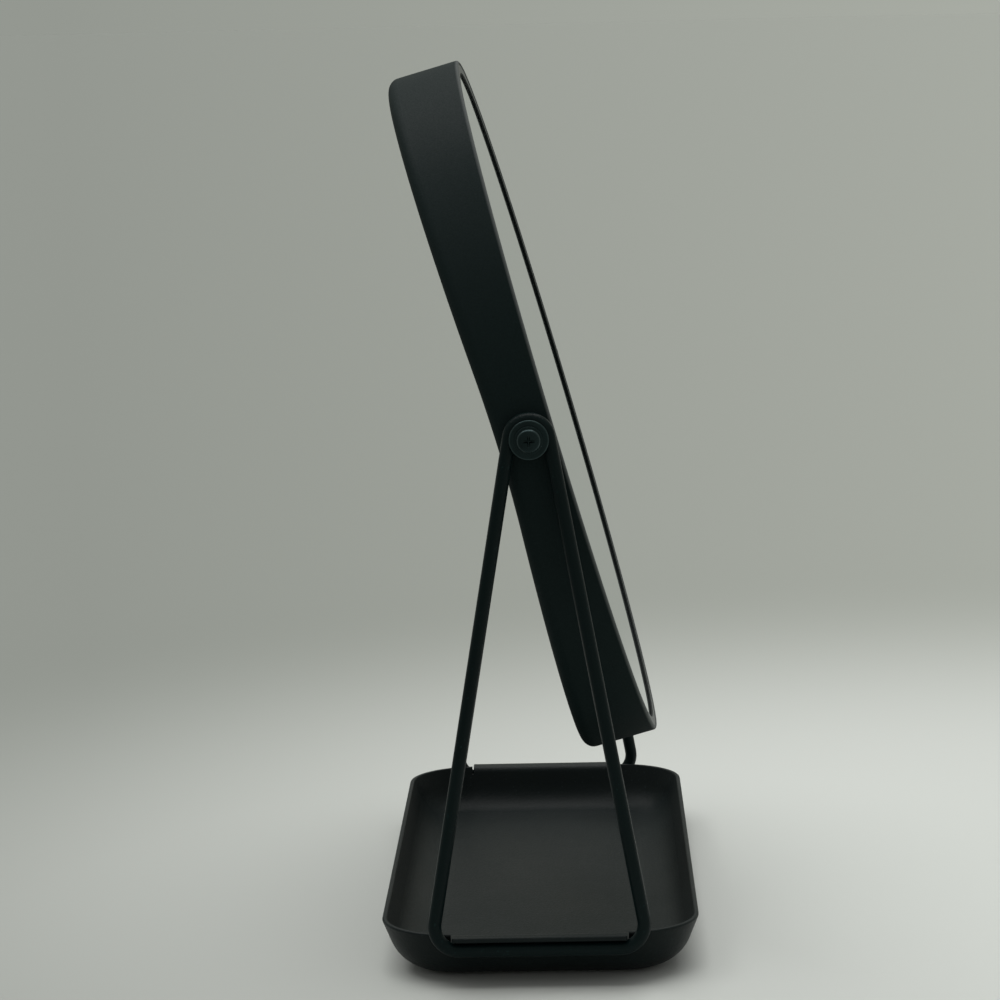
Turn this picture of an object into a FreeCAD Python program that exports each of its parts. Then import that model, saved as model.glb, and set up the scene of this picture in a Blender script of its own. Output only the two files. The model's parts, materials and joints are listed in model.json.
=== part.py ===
"""Vanity mirror with tray: a round tilting head between two wire legs, fixed under the tabs of an open tray.

Frame: millimetres, +Z up, +X along the pivot axis, the glass faces -Y and leans back.
The origin is on the table, under the middle of the tray. "left" is the -X side.
The head is drawn in its own frame: origin in the middle of its front plane, +Y into its depth.
"""
import FreeCAD, Part
import math
import os
import re
import Sketcher

Vector = FreeCAD.Vector
doc = FreeCAD.newDocument("vanity_mirror")

# ---------------------------------------------------------------- sizes
# Every alias holds an underscore, which is how cells() knows it from a function's name.
DRIVING = [
    ("head_diameter", "170", "round head, outside"),
    ("head_depth", "13.35", "head on the pivot line, where it is thinnest, front to back"),
    ("valley_radius", "290", "soft valley of the back, along the pivot line"),
    ("valley_slope", "3.66", "rise of the back from the valley to its edge, degrees"),
    ("back_round", "2.8", "rounding of the back edge"),
    ("lip_round", "0.7", "rounding of the front edge"),
    ("side_wall", "1.8", "side wall of the shell"),
    ("back_wall", "2", "back wall of the shell"),
    ("lip_wall", "0.8", "thin front lip around the bezel ring"),
    ("tilt_angle", "15.5", "lean of the head at rest, degrees"),
    ("pivot_depth", "5.95", "pivot axis behind the front plane"),
    ("pivot_rise", "2", "pivot axis above the middle of the head"),
    ("pivot_height", "124.3", "pivot axis above the table"),
    ("ring_recess", "0.2", "bezel ring's face behind the shell's front edge"),
    ("ring_flange", "0.45", "bezel ring's thickness in front of the glass"),
    ("ring_width", "2.3", "bezel ring's face, across"),
    ("ring_round", "0.2", "rounding of the bezel ring's inner edge"),
    ("ring_clearance", "0.1", "bezel ring in the shell, radial"),
    ("glass_overlap", "1", "glass edge hidden behind the bezel ring"),
    ("glass_clearance", "0.2", "glass in the bezel ring's skirt, radial"),
    ("glass_thickness", "1.8", "mirror glass"),
    ("glass_chamfer", "0.3", "ground edges of the glass"),
    ("foam_thickness", "0.8", "adhesive foam between glass and ribs"),
    ("foam_length", "14", "foam pad, radial"),
    ("foam_width", "9", "foam pad, across"),
    ("rib_thickness", "1.4", "stiffening ribs of the shell"),
    ("rib_count", "8", "radial ribs, with a foam pad on each"),
    ("inner_rib_radius", "28", "inner ring rib, middle"),
    ("outer_rib_radius", "58", "outer ring rib, middle"),
    ("boss_radius", "5", "boss around the insert"),
    ("boss_length", "9", "boss, along the pivot axis"),
    ("boss_proud", "0.2", "flat end of the boss above the round side wall"),
    ("insert_radius", "2.1", "threaded insert, outside"),
    ("insert_length", "6", "threaded insert"),
    ("insert_groove", "0.3", "depth of the insert's middle groove"),
    ("groove_width", "1.2", "insert's middle groove, along the pivot axis"),
    ("insert_clearance", "0.02", "insert in its hole, radial"),
    ("insert_sink", "0.1", "insert below the boss's end"),
    ("thread_clearance", "0.02", "screw in the insert, radial"),
    ("screw_radius", "1.48", "pivot screw's shank"),
    ("screw_length", "12", "pivot screw under its head"),
    ("screw_head_radius", "2.6", "pan head"),
    ("screw_head_height", "1.8", "pan head"),
    ("screw_head_round", "0.7", "pan head's edge"),
    ("screw_tip_chamfer", "0.4", "shank's end"),
    ("screw_tip_room", "0.7", "hole beyond the shank's end"),
    ("screw_side_room", "0.3", "hole around the shank's end, radial"),
    ("recess_span", "2.9", "cross recess, tip to tip"),
    ("recess_slot", "0.65", "cross recess, slot width"),
    ("recess_depth", "1.1", "cross recess"),
    ("running_clearance", "0.06", "shank in sleeve and washers, radial"),
    ("face_gap", "0.05", "faces that slide on each other"),
    ("seat_clearance", "0.02", "sleeve under the leg's arch, radial"),
    ("friction_radius", "4.8", "friction washer, outside"),
    ("friction_thickness", "0.3", "friction washer"),
    ("washer_radius", "4.4", "flat washer over the leg's arch"),
    ("washer_thickness", "0.8", "flat washer"),
    ("washer_round", "0.2", "flat washer's outer edge"),
    ("lock_radius", "3.1", "split lock washer, outside"),
    ("lock_thickness", "0.7", "split lock washer"),
    ("lock_slit", "0.5", "lock washer's split"),
    ("wire_diameter", "3.1", "leg wire with its coating"),
    ("arch_radius", "4.37", "leg's arch over the pivot, centre line"),
    ("leg_spread", "24.6", "half the leg's width where its lines meet the bottom run"),
    ("leg_bend", "5.5", "bottom corners of the leg, centre line"),
    ("butt_gap", "0.3", "gap between the wire's two ends, under the tab"),
    ("wire_drop", "3.3", "bottom run's centre line below the tray's rim"),
    ("tray_width", "73.1", "tray rim, front to back"),
    ("tray_depth", "11.5", "tray, rim to underside"),
    ("tray_corner", "17.1", "tray's corner radius at the rim"),
    ("tray_sheet", "1.1", "tray's sheet"),
    ("wall_angle", "22", "flare of the tray's wall from upright, degrees"),
    ("floor_bend", "10", "bend from wall to floor, outside"),
    ("rim_round", "0.4", "rounding of the rim's edges"),
    ("rim_lap", "0.35", "rim beyond the inner side of the leg's wire"),
    ("tab_width", "39.4", "tab that reaches out over the wire"),
    ("tab_sink", "0.1", "tab's top below the rim"),
    ("tab_bend", "1.2", "bend from wall to tab, inside radius"),
    ("tab_reach", "1.8", "tab's free edge beyond the wire's middle"),
    ("tab_root", "1.2", "straight root of the tab in the wall"),
    ("tab_corner", "0.9", "corners of the tab's free edge"),
    ("tab_round", "0.35", "rounding of the tab's free edge"),
    ("relief_width", "0.35", "relief slit in the rim beside the tab"),
    ("seat_length", "8", "brazed seats that hold the wire to the wall, along the wire"),
    ("seat_height", "1.6", "brazed seats, top to bottom"),
    ("seat_place", "11", "middle of a brazed seat off the tray's middle"),
    ("pad_radius", "5", "anti-slip pad"),
    ("pad_thickness", "0.5", "anti-slip pad"),
    ("pad_margin", "8", "pad's middle inside the flat of the base"),
]

DERIVED = [
    ("head_radius", "=head_diameter / 2", "head"),
    ("edge_depth", "=head_depth + valley_radius * (1 - cos(valley_slope))"
     " + (head_radius - valley_radius * sin(valley_slope)) * tan(valley_slope)", "head at top and bottom"),
    ("cavity_radius", "=head_radius - side_wall", "inside of the shell"),
    ("cavity_round", "=back_round - side_wall", "inside of the back edge"),
    ("seat_radius", "=head_radius - lip_wall", "seat of the bezel ring"),
    ("ring_outer", "=seat_radius - ring_clearance", "bezel ring"),
    ("ring_inner", "=ring_outer - ring_width", "bezel ring's opening"),
    ("glass_radius", "=ring_inner + glass_overlap", "mirror glass"),
    ("skirt_inner", "=glass_radius + glass_clearance", "bezel ring's skirt"),
    ("glass_front", "=ring_recess + ring_flange", "glass behind the front plane"),
    ("glass_back", "=glass_front + glass_thickness", "back of the glass"),
    ("rib_front", "=glass_back + foam_thickness", "front of the ribs"),
    ("head_shift", "=-(pivot_depth * cos(tilt_angle) + pivot_rise * sin(tilt_angle))", "head frame, along Y"),
    ("head_lift", "=pivot_height + pivot_depth * sin(tilt_angle) - pivot_rise * cos(tilt_angle)",
     "head frame, along Z"),
    ("wire_radius", "=wire_diameter / 2", "leg wire"),
    ("boss_face", "=head_radius + boss_proud", "outer end of the boss"),
    ("insert_face", "=boss_face - insert_sink", "outer end of the insert"),
    ("friction_face", "=boss_face + friction_thickness", "outer face of the friction washer"),
    ("sleeve_start", "=friction_face + face_gap", "inner end of the sleeve"),
    ("sleeve_face", "=sleeve_start + wire_diameter + 2 * face_gap", "outer end of the sleeve"),
    ("sleeve_radius", "=arch_radius - wire_radius - seat_clearance", "sleeve, outside"),
    ("leg_plane", "=(sleeve_start + sleeve_face) / 2", "plane of the leg's centre line"),
    ("washer_face", "=sleeve_face + washer_thickness", "outer face of the flat washer"),
    ("lock_start", "=washer_face + face_gap", "inner face of the lock washer"),
    ("screw_seat", "=lock_start + lock_thickness", "under the screw's head"),
    ("bore_radius", "=screw_radius + running_clearance", "hole that the shank turns in"),
    ("tip_depth", "=boss_face - screw_seat + screw_length + screw_tip_room", "hole in the boss"),
    ("rim_height", "=pad_thickness + tray_depth", "rim above the table"),
    ("wire_height", "=rim_height - wire_drop", "bottom run above the table"),
    ("rim_end", "=leg_plane - wire_radius + rim_lap", "half the rim's length"),
    ("tab_outer", "=tab_bend + tray_sheet", "bend from wall to tab, outside radius"),
    ("tab_height", "=rim_height - tab_sink - tab_outer", "middle of that bend, above the table"),
    ("tab_middle", "=rim_end - (rim_height - tab_height) * tan(wall_angle) + tab_bend / cos(wall_angle)",
     "middle of that bend, along X"),
    ("tab_edge", "=leg_plane + tab_reach", "tab's free edge, along X"),
    ("relief_floor", "=tab_height + tab_bend * sin(wall_angle)", "where wall turns into tab"),
    ("base_inset", "=tray_depth * tan(wall_angle) + floor_bend * tan(45 - wall_angle / 2)",
     "flat of the base inside the rim's outline"),
    ("leg_rise", "=pivot_height - wire_height", "pivot above the bottom run"),
    ("leg_lean", "=atan(leg_spread / leg_rise)"
     " - asin(arch_radius / sqrt(leg_spread * leg_spread + leg_rise * leg_rise))", "leg from upright"),
    ("bend_start", "=leg_spread - leg_bend * tan(45 deg + leg_lean / 2)", "where the bottom corner begins"),
    ("pad_along", "=rim_end - base_inset - pad_margin", "anti-slip pads, along X"),
    ("pad_across", "=tray_width / 2 - base_inset - pad_margin", "anti-slip pads, along Y"),
]

sheet = doc.addObject("Spreadsheet::Sheet", "Sizes")
for row, (alias, content, note) in enumerate(DRIVING + DERIVED, start=1):
    sheet.set(f"A{row}", note)
    sheet.set(f"B{row}", content)
    sheet.setAlias(f"B{row}", alias)
doc.recompute()


# ---------------------------------------------------------------- helpers
def cells(expression):
    """Expression over the sheet's names, written as objects outside the sheet need it."""
    return re.sub(r"\b[a-z]+(?:_[a-z]+)+\b", r"Sizes.\g<0>", expression)


def size(expression):
    """Value of an expression over the sheet's names."""
    value = sheet.evalExpression(cells(expression))
    return float(getattr(value, "Value", value))


def new_body(name, in_head=False):
    """Body of one sub-part; the head's parts stand in the head's leaning frame."""
    body = doc.addObject("PartDesign::Body", name)
    body.Label = name
    if in_head:
        lean = FreeCAD.Rotation(Vector(-1, 0, 0), size("tilt_angle"))
        body.Placement = FreeCAD.Placement(Vector(0, 0, 0), lean)
        body.setExpression(".Placement.Base.y", cells("head_shift"))
        body.setExpression(".Placement.Base.z", cells("head_lift"))
        body.setExpression(".Placement.Rotation.Angle", cells("tilt_angle"))
    return body


def origin_feature(body, role):
    """Plane or axis of the body's own origin."""
    return next(entry for entry in body.Origin.OriginFeatures if entry.Role == role)


def new_sketch(body, plane, offset="0"):
    """Empty sketch on one of the body's own planes, moved by offset along its normal."""
    sketch = body.newObject("Sketcher::SketchObject", "Sketch")
    sketch.AttachmentSupport = [(origin_feature(body, plane), "")]
    sketch.MapMode = "FlatFace"
    sketch.setExpression(".AttachmentOffset.Base.z", cells(offset))
    return sketch


def depth_sketch(body, depth):
    """Sketch across the head's depth: x is X, y is Z."""
    return new_sketch(body, "XZ_Plane", f"-({depth})")


def hold(sketch, edge, point, place):
    """Keep a point of an edge at a place (x, y), both expressions."""
    for kind, axis, expression in (("DistanceX", -2, place[0]), ("DistanceY", -1, place[1])):
        value = size(expression)
        if expression == "0":
            sketch.addConstraint(Sketcher.Constraint("PointOnObject", edge, point, axis))
        elif value > 0:
            index = sketch.addConstraint(Sketcher.Constraint(kind, -1, 1, edge, point, value))
            sketch.setExpression(f"Constraints[{index}]", cells(expression))
        else:
            index = sketch.addConstraint(Sketcher.Constraint(kind, edge, point, -1, 1, -value))
            sketch.setExpression(f"Constraints[{index}]", cells(f"-({expression})"))


def hold_radius(sketch, edge, radius):
    """Keep the radius of a circle or an arc."""
    index = sketch.addConstraint(Sketcher.Constraint("Radius", edge, size(radius)))
    sketch.setExpression(f"Constraints[{index}]", cells(radius))


def circle(sketch, radius, middle=("0", "0")):
    """Circle about a middle (x, y)."""
    centre = Vector(size(middle[0]), size(middle[1]), 0)
    edge = sketch.addGeometry(Part.Circle(centre, Vector(0, 0, 1), size(radius)))
    hold(sketch, edge, 3, middle)
    hold_radius(sketch, edge, radius)


def arc(sketch, first, second, radius, turn):
    """Arc of less than half a turn; gives the edge and which of its points come first and last."""
    if turn == "right":
        edge, last, start = arc(sketch, second, first, radius, "left")
        return edge, start, last
    half = (second - first) / 2
    across = Vector(-half.y, half.x, 0).normalize()
    centre = first + half + across * math.sqrt(size(radius) ** 2 - half.Length ** 2)
    angles = [math.atan2(end.y - centre.y, end.x - centre.x) for end in (first, second)]
    whole = Part.Circle(centre, Vector(0, 0, 1), size(radius))
    return sketch.addGeometry(Part.ArcOfCircle(whole, *angles)), 1, 2


def outline(sketch, corners, closed=True):
    """Edges from corner to corner, each corner an (x, y) of expressions.

    A corner (x, y, turn, radius) starts an arc that turns left or right instead of a line.
    """
    ends = []
    followers = corners[1:] + corners[:1] if closed else corners[1:]
    for corner, follower in zip(corners, followers):
        first = Vector(size(corner[0]), size(corner[1]), 0)
        second = Vector(size(follower[0]), size(follower[1]), 0)
        if len(corner) == 2:
            ends.append((sketch.addGeometry(Part.LineSegment(first, second)), 1, 2))
        else:
            ends.append(arc(sketch, first, second, corner[3], corner[2]))
            hold_radius(sketch, ends[-1][0], corner[3])
        hold(sketch, ends[-1][0], ends[-1][1], corner)
    for (edge, _, last), (after, start, _) in zip(ends, ends[1:] + ends[:1] if closed else ends[1:]):
        sketch.addConstraint(Sketcher.Constraint("Coincident", edge, last, after, start))
    if not closed:
        hold(sketch, ends[-1][0], ends[-1][2], corners[-1])


def rectangle(sketch, left, right, low, high):
    """Upright rectangle."""
    outline(sketch, [(left, low), (right, low), (right, high), (left, high)])


def extrude(body, kind, sketch, length, flip=False, both=False):
    """Pad or Pocket of a sketch; length "all" goes right through."""
    feature = body.newObject(f"PartDesign::{kind}", kind)
    feature.Profile = sketch
    feature.Reversed = flip
    if both:
        feature.SideType = "Symmetric"
    if length == "all":
        feature.Type = "ThroughAll"
    else:
        feature.setExpression("Length", cells(length))
    doc.recompute()
    return feature


def revolve(body, sketch, axis):
    """Full turn of a sketch about one of its own axes."""
    feature = body.newObject("PartDesign::Revolution", "Revolution")
    feature.Profile = sketch
    feature.ReferenceAxis = (sketch, [axis])
    feature.Angle = 360
    doc.recompute()
    return feature


def polar(body, feature, axis, count):
    """Copies of a feature around an axis of the body."""
    pattern = body.newObject("PartDesign::PolarPattern", "PolarPattern")
    pattern.Originals = [feature]
    pattern.Axis = (origin_feature(body, axis), [""])
    pattern.Angle = 360
    pattern.setExpression("Occurrences", cells(count))
    body.Tip = pattern
    doc.recompute()
    return pattern


def dress(body, kind, base, amount, chosen):
    """Fillet or Chamfer on the edges of base that chosen picks."""
    feature = body.newObject(f"PartDesign::{kind}", kind)
    names = [f"Edge{number}" for number, edge in enumerate(base.Shape.Edges, start=1) if chosen(edge)]
    feature.Base = (base, names)
    feature.setExpression("Radius" if kind == "Fillet" else "Size", cells(amount))
    doc.recompute()
    return feature


def close(value, wanted):
    """Whether a measure is as wanted, to a thousandth of a millimetre."""
    return abs(value - wanted) < 1e-3


def at_height(item, height):
    """Whether an edge or a face lies flat at a height above the table."""
    return close(item.BoundBox.ZMin, height) and close(item.BoundBox.ZMax, height)


def face_at(feature, height):
    """Name of the face that lies flat at a height above the table."""
    return next(f"Face{number}" for number, face in enumerate(feature.Shape.Faces, start=1)
                if at_height(face, height))


def at_depth(edge, depth, radius):
    """Whether an edge is a circle across the head, at a depth and of a radius."""
    box = edge.BoundBox
    return close(box.YMin, depth) and close(box.YMax, depth) and close(box.XMax, radius)


def on_back_edge(edge, radius):
    """Whether an edge runs around the back of the head, at a radius from its middle."""
    place = edge.valueAt((edge.FirstParameter + edge.LastParameter) / 2)
    return place.y > size("rib_front") and close(math.hypot(place.x, place.z), size(radius))


# ---------------------------------------------------------------- head
def valley(sketch, depth, radius, reach):
    """All that lies behind the back's soft valley, seen along X: x is depth, y is up."""
    rise = f"{radius} * sin(valley_slope)"
    shoulder = f"{depth} + {radius} * (1 - cos(valley_slope))"
    edge = f"{shoulder} + (head_diameter - {rise}) * tan(valley_slope)"
    outline(sketch, [
        (edge, "-head_diameter"),
        (reach, "-head_diameter"),
        (reach, "head_diameter"),
        (edge, "head_diameter"),
        (shoulder, rise, "left", radius),
        (shoulder, f"-({rise})"),
    ])


def hollow_drum(body, radius, depth, valley_radius, rounding):
    """Round disc of the head or of its cavity, with the valley cut into its back."""
    front = depth_sketch(body, "0")
    circle(front, radius)
    extrude(body, "Pad", front, "edge_depth", flip=True)
    behind = new_sketch(body, "YZ_Plane")
    valley(behind, depth, valley_radius, "head_radius")
    cut = extrude(body, "Pocket", behind, "all", both=True)
    return dress(body, "Fillet", cut, rounding, lambda edge: on_back_edge(edge, radius))


def make_cavity():
    """Hollow of the head shell, with slots where the ribs stand."""
    body = new_body("head_cavity")
    hollow_drum(body, "cavity_radius", "(head_depth - back_wall)", "(valley_radius + back_wall)",
                "cavity_round")
    rings = depth_sketch(body, "rib_front")
    for middle in ("inner_rib_radius", "outer_rib_radius"):
        circle(rings, f"{middle} - rib_thickness / 2")
        circle(rings, f"{middle} + rib_thickness / 2")
    extrude(body, "Pocket", rings, "edge_depth")
    spoke = depth_sketch(body, "rib_front")
    rectangle(spoke, "inner_rib_radius", "head_radius", "-rib_thickness / 2", "rib_thickness / 2")
    polar(body, extrude(body, "Pocket", spoke, "edge_depth"), "Y_Axis", "rib_count")
    return body


def make_head_shell():
    """Dark moulded shell: lip, side wall, valley back, ribs and the two pivot bosses."""
    body = new_body("head_shell", in_head=True)
    hollow_drum(body, "head_radius", "head_depth", "valley_radius", "back_round")
    hollow = body.newObject("PartDesign::Boolean", "Boolean")
    hollow.Type = "Cut"
    hollow.setObjects([make_cavity()])
    doc.recompute()
    pivot = ("pivot_depth", "pivot_rise")
    for sign, inward in ((-1, False), (1, True)):
        end = new_sketch(body, "YZ_Plane", f"{sign} * boss_face")
        circle(end, "boss_radius", pivot)
        extrude(body, "Pad", end, "boss_length", flip=inward)
    seat = depth_sketch(body, "0")
    circle(seat, "seat_radius")
    extrude(body, "Pocket", seat, "glass_back")
    for sign, inward in ((-1, True), (1, False)):
        for radius, depth in (("screw_radius + screw_side_room", "tip_depth"),
                              ("insert_radius + insert_clearance", "insert_length + insert_sink")):
            end = new_sketch(body, "YZ_Plane", f"{sign} * boss_face")
            circle(end, radius, pivot)
            hole = extrude(body, "Pocket", end, depth, flip=inward)
    dress(body, "Fillet", hole, "lip_round", lambda edge: at_depth(edge, 0, size("head_radius")))
    return body


def make_bezel_ring():
    """Ring that holds the glass: a flange over its edge and a skirt down to the shell's seat."""
    body = new_body("bezel_ring", in_head=True)
    section = new_sketch(body, "XY_Plane")
    outline(section, [
        ("ring_inner", "ring_recess"),
        ("ring_outer", "ring_recess"),
        ("ring_outer", "glass_back"),
        ("skirt_inner", "glass_back"),
        ("skirt_inner", "glass_front"),
        ("ring_inner", "glass_front"),
    ])
    ring = revolve(body, section, "V_Axis")
    dress(body, "Fillet", ring, "ring_round",
          lambda edge: at_depth(edge, size("ring_recess"), size("ring_inner")))
    return body


def make_mirror_glass():
    """Flat glass disc with ground edges."""
    body = new_body("mirror_glass", in_head=True)
    face = depth_sketch(body, "glass_front")
    circle(face, "glass_radius")
    disc = extrude(body, "Pad", face, "glass_thickness", flip=True)
    dress(body, "Chamfer", disc, "glass_chamfer", lambda edge: len(edge.Vertexes) == 1)
    return body


def make_foam_pads():
    """Adhesive foam on the outer ring rib, one pad over each radial rib."""
    body = new_body("foam_pads", in_head=True)
    face = depth_sketch(body, "glass_back")
    rectangle(face, "outer_rib_radius - foam_length / 2", "outer_rib_radius + foam_length / 2",
              "-foam_width / 2", "foam_width / 2")
    polar(body, extrude(body, "Pad", face, "foam_thickness", flip=True), "Y_Axis", "rib_count")
    return body


# ---------------------------------------------------------------- pivots
def turned(name, sign, section, at_pivot=True):
    """Body turned about the pivot axis from (x, radius) corners, x outwards from the middle."""
    body = new_body(name)
    body.setExpression(".Placement.Base.z", cells("pivot_height"))
    sketch = new_sketch(body, "XY_Plane")
    outline(sketch, [(f"{sign} * ({corner[0]})",) + corner[1:] for corner in section])
    return body, revolve(body, sketch, "H_Axis")


def tube(name, sign, start, end, inner, outer):
    """Plain tube or washer on the pivot axis."""
    return turned(name, sign, [(start, inner), (end, inner), (end, outer), (start, outer)])


def at_end(edge, place, radius):
    """Whether an edge is a circle about the pivot axis, at a place along it and of a radius."""
    box = edge.BoundBox
    return close(abs(box.Center.x), place) and close(box.XLength, 0) and close(box.YMax, radius)


def make_threaded_insert(name, sign):
    """Brass insert pressed into the boss, with a groove around its middle."""
    inner = "screw_radius + thread_clearance"
    groove = "insert_radius - insert_groove"
    start = "insert_face - insert_length"
    groove_start = f"{start} + (insert_length - groove_width) / 2"
    groove_end = f"{groove_start} + groove_width"
    return turned(name, sign, [
        (start, inner),
        ("insert_face", inner),
        ("insert_face", "insert_radius"),
        (groove_end, "insert_radius"),
        (groove_end, groove),
        (groove_start, groove),
        (groove_start, "insert_radius"),
        (start, "insert_radius"),
    ])[0]


def make_friction_washer(name, sign):
    """Thin washer between the boss and the leg; its drag holds the tilt."""
    return tube(name, sign, "boss_face", "friction_face", "bore_radius", "friction_radius")[0]


def make_pivot_sleeve(name, sign):
    """Steel sleeve under the leg's arch, which the screw turns in."""
    return tube(name, sign, "sleeve_start", "sleeve_face", "bore_radius", "sleeve_radius")[0]


def make_flat_washer(name, sign):
    """Flat washer against the sleeve, over the inner edge of the arch."""
    body, ring = tube(name, sign, "sleeve_face", "washer_face", "bore_radius", "washer_radius")
    dress(body, "Fillet", ring, "washer_round",
          lambda edge: at_end(edge, size("washer_face"), size("washer_radius")))
    return body


def make_lock_washer(name, sign):
    """Split spring washer under the screw's head, its split downwards."""
    body, _ = tube(name, sign, "lock_start", "screw_seat", "bore_radius", "lock_radius")
    split = new_sketch(body, "YZ_Plane")
    rectangle(split, "-lock_slit / 2", "lock_slit / 2", "-washer_radius", "0")
    extrude(body, "Pocket", split, "all", both=True)
    return body


def make_pivot_screw(name, sign):
    """Pan-head screw along the pivot axis, with a cross recess."""
    tip = "screw_seat - screw_length"
    face = "screw_seat + screw_head_height"
    body, blank = turned(name, sign, [
        (tip, "0"),
        (face, "0"),
        (face, "screw_head_radius"),
        ("screw_seat", "screw_head_radius"),
        ("screw_seat", "screw_radius"),
        (f"{tip} + screw_tip_chamfer", "screw_radius"),
        (tip, "screw_radius - screw_tip_chamfer"),
    ])
    dress(body, "Fillet", blank, "screw_head_round",
          lambda edge: at_end(edge, size(face), size("screw_head_radius")))
    cross = new_sketch(body, "YZ_Plane", f"{sign} * ({face})")
    arm, slot = "recess_span / 2", "recess_slot / 2"
    outline(cross, [
        (slot, slot), (slot, arm), (f"-{slot}", arm), (f"-{slot}", slot),
        (f"-{arm}", slot), (f"-{arm}", f"-{slot}"), (f"-{slot}", f"-{slot}"), (f"-{slot}", f"-{arm}"),
        (slot, f"-{arm}"), (slot, f"-{slot}"), (arm, f"-{slot}"), (arm, slot),
    ])
    extrude(body, "Pocket", cross, "recess_depth", flip=sign < 0)
    return body


# ---------------------------------------------------------------- legs
def make_wire_leg(name, sign):
    """One bent wire: bottom run with a butt joint, two leaning legs, and an arch over the pivot."""
    body = new_body(name)
    start = "butt_gap / 2"
    bend_end = "bend_start + leg_bend * cos(leg_lean)"
    bend_top = "wire_height + leg_bend * (1 + sin(leg_lean))"
    arch_side = "arch_radius * cos(leg_lean)"
    arch_foot = "pivot_height + arch_radius * sin(leg_lean)"
    path = new_sketch(body, "YZ_Plane", f"{sign} * leg_plane")
    outline(path, [
        (start, "wire_height"),
        ("bend_start", "wire_height", "left", "leg_bend"),
        (bend_end, bend_top),
        (arch_side, arch_foot, "left", "arch_radius"),
        (f"-({arch_side})", arch_foot),
        (f"-({bend_end})", bend_top, "left", "leg_bend"),
        ("-bend_start", "wire_height"),
        (f"-{start}", "wire_height"),
    ], closed=False)
    section = new_sketch(body, "XZ_Plane", f"-{start}")
    circle(section, "wire_radius", (f"{sign} * leg_plane", "wire_height"))
    wire = body.newObject("PartDesign::AdditivePipe", "Pipe")
    wire.Profile = section
    wire.Spine = (path, [])
    doc.recompute()
    return body


# ---------------------------------------------------------------- tray
def tab_outline(sketch, sign):
    """Tab seen along Y: a straight root in the wall, a bend outwards and a flat over the wire."""
    turns = ("right", "left") if sign > 0 else ("left", "right")

    def on_bend(radius, angle, slide="0"):
        """Place on the bend, or slid down the wall from it."""
        across = f"{sign} * (tab_middle + {radius} * cos({angle}) - {slide} * sin(wall_angle))"
        return across, f"tab_height + {radius} * sin({angle}) - {slide} * cos(wall_angle)"

    wall, top = "(180 - wall_angle)", "90"
    edge, shoulder = f"{sign} * tab_edge", f"{sign} * (tab_edge - tab_round)"
    low, high = "tab_height + tab_bend", "tab_height + tab_outer"
    outline(sketch, [
        on_bend("tab_bend", wall, "tab_root"),
        on_bend("tab_bend", wall) + (turns[0], "tab_bend"),
        on_bend("tab_bend", top),
        (shoulder, low, turns[1], "tab_round"),
        (edge, f"{low} + tab_round"),
        (edge, f"{high} - tab_round", turns[1], "tab_round"),
        (shoulder, high),
        on_bend("tab_outer", top) + (turns[1], "tab_outer"),
        on_bend("tab_outer", wall),
        on_bend("tab_outer", wall, "tab_root"),
    ])


def tab_corners(sketch):
    """What is cut off the tabs' corners to round them, seen from above."""
    for along in (-1, 1):
        for across in (-1, 1):
            edge, side = f"{along} * tab_edge", f"{across} * tab_width / 2"
            turn = "right" if along == across else "left"
            outline(sketch, [
                (edge, side),
                (f"{along} * (tab_edge - tab_corner)", side, turn, "tab_corner"),
                (edge, f"{across} * (tab_width / 2 - tab_corner)"),
            ])


def seat_outline(sketch, sign):
    """Brazed seat seen along Y: from inside the wall to the inner side of the wire."""
    low, high = "wire_height - seat_height / 2", "wire_height + seat_height / 2"
    face = "leg_plane - wire_radius - face_gap"

    def in_wall(height):
        """Place in the middle of the wall's sheet, at a height."""
        return f"rim_end - (rim_height - ({height})) * tan(wall_angle) - tray_sheet / 2"

    outline(sketch, [
        (f"{sign} * ({in_wall(low)})", low),
        (f"{sign} * ({face})", low),
        (f"{sign} * ({face})", high),
        (f"{sign} * ({in_wall(high)})", high),
    ])


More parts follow.
